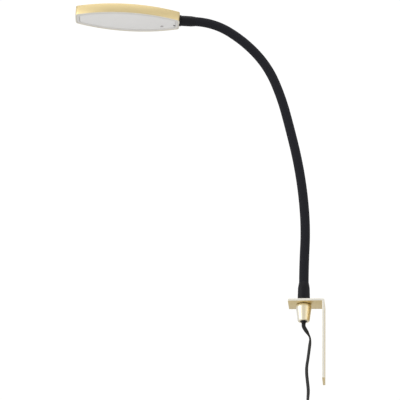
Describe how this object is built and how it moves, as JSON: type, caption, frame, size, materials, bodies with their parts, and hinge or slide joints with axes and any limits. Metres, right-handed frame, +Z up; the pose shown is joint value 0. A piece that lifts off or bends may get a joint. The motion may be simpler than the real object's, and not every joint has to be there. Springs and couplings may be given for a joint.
{
  "type": "clip on reading lamp",
  "caption": "Reading lamp on a bent metal hook, with a textile-covered gooseneck arm and a slim light head that has a frosted underside, a switch and a turning neck.",
  "frame": {"origin": "middle of the flat outer face of the hook's leg", "axes": "+X out of the leg's outer face, away from the light head; +Y along the strip's width, away from the viewer in the front view; +Z up along the leg and the arm"},
  "size_m": [0.3263, 0.0749, 0.6887],
  "materials": {
    "gold": "satin",
    "black_plastic": "satin",
    "steel": "satin",
    "white_plastic": "matte",
    "cord_jacket": "satin",
    "strap": "woven",
    "plug_shell": "satin",
    "aluminium": "milled",
    "led": "gloss",
    "frosted": "frosted",
    "grey_plastic": "satin",
    "wire": "matte",
    "textile": "braided",
    "wound_steel": "satin"
  },
  "bodies": {
    "base": {"bracket": "gold", "cone_washer": "black_plastic", "cone_nut": "gold", "hollow_stud": "steel", "cord_bush": "black_plastic", "cord_clamp": "white_plastic", "lower_ferrule": "black_plastic", "cord_drop": "cord_jacket", "cord_hank": "cord_jacket", "hank_tie": "strap", "cord_tail": "cord_jacket", "plug_body": "plug_shell", "plug_pins": "steel", "sleeve_0": "textile", "core_0": "wound_steel", "lead_0": "wire"},
    "arm_1": {"sleeve_1": "textile", "core_1": "wound_steel", "lead_1": "wire"},
    "arm_2": {"sleeve_2": "textile", "core_2": "wound_steel", "lead_2": "wire"},
    "arm_3": {"sleeve_3": "textile", "core_3": "wound_steel", "lead_3": "wire"},
    "arm_4": {"sleeve_4": "textile", "core_4": "wound_steel", "lead_4": "wire"},
    "arm_5": {"sleeve_5": "textile", "core_5": "wound_steel", "lead_5": "wire"},
    "arm_6": {"sleeve_6": "textile", "core_6": "wound_steel", "lead_6": "wire"},
    "arm_7": {"sleeve_7": "textile", "core_7": "wound_steel", "lead_7": "wire"},
    "arm_8": {"sleeve_8": "textile", "core_8": "wound_steel", "lead_8": "wire", "upper_ferrule": "black_plastic", "spigot": "steel", "spigot_ring": "steel"},
    "head": {"neck_collar": "black_plastic", "neck_block": "aluminium", "neck_screw": "steel", "head_band": "gold", "top_cover": "gold", "heat_plate": "aluminium", "board_screws": "steel", "led_board": "white_plastic", "led_chips": "led", "reflector": "white_plastic", "bezel": "white_plastic", "diffuser": "frosted", "diffuser_screw": "steel", "switch_body": "black_plastic", "head_wire": "wire"},
    "button": {"switch_button": "grey_plastic"}
  },
  "joints": [
    {"name": "bend_1", "type": "hinge", "parent": "base", "child": "arm_1", "pos_m": [-0.02519, 0.00012, 0.12354], "axis": [0.1219, -0.9925, 0], "range_deg": [-12, 12]},
    {"name": "bend_2", "type": "hinge", "parent": "arm_1", "child": "arm_2", "pos_m": [-0.02579, 0.00005, 0.17031], "axis": [0.1219, -0.9925, 0], "range_deg": [-12, 12]},
    {"name": "sway_3", "type": "hinge", "parent": "arm_2", "child": "arm_3", "pos_m": [-0.03085, -0.00057, 0.21682], "axis": [0.9816, 0.1205, 0.1478], "range_deg": [-14, 14]},
    {"name": "bend_4", "type": "hinge", "parent": "arm_3", "child": "arm_4", "pos_m": [-0.03951, -0.00163, 0.26278], "axis": [0.1219, -0.9925, 0], "range_deg": [-12, 12]},
    {"name": "bend_5", "type": "hinge", "parent": "arm_4", "child": "arm_5", "pos_m": [-0.05055, -0.00299, 0.30824], "axis": [0.1219, -0.9925, 0], "range_deg": [-14, 12]},
    {"name": "sway_6", "type": "hinge", "parent": "arm_5", "child": "arm_6", "pos_m": [-0.06528, -0.0048, 0.35259], "axis": [0.917, 0.1126, 0.3827], "range_deg": [-14, 14]},
    {"name": "bend_7", "type": "hinge", "parent": "arm_6", "child": "arm_7", "pos_m": [-0.08978, -0.00781, 0.39209], "axis": [0.1219, -0.9925, 0], "range_deg": [-14, 12]},
    {"name": "bend_8", "type": "hinge", "parent": "arm_7", "child": "arm_8", "pos_m": [-0.12499, -0.01213, 0.42239], "axis": [0.1219, -0.9925, 0], "range_deg": [-14, 12]},
    {"name": "head_turn", "type": "hinge", "parent": "arm_8", "child": "head", "pos_m": [-0.18971, -0.02008, 0.43645], "axis": [-0.9922, -0.1218, 0.0262], "range_deg": [-80, 80]},
    {"name": "button_press", "type": "slide", "parent": "head", "child": "button", "axis": [0.026, 0.0032, 0.9997], "range_m": [0, 0.0008], "stiffness_N_per_m": 1500}
  ],
  "couplings": [
    {"joint": "sway_6", "follows": "sway_3", "ratio": 1},
    {"joint": "bend_2", "follows": "bend_1", "ratio": 1},
    {"joint": "bend_4", "follows": "bend_1", "ratio": 1},
    {"joint": "bend_7", "follows": "bend_5", "ratio": 1},
    {"joint": "bend_8", "follows": "bend_5", "ratio": 1}
  ]
}
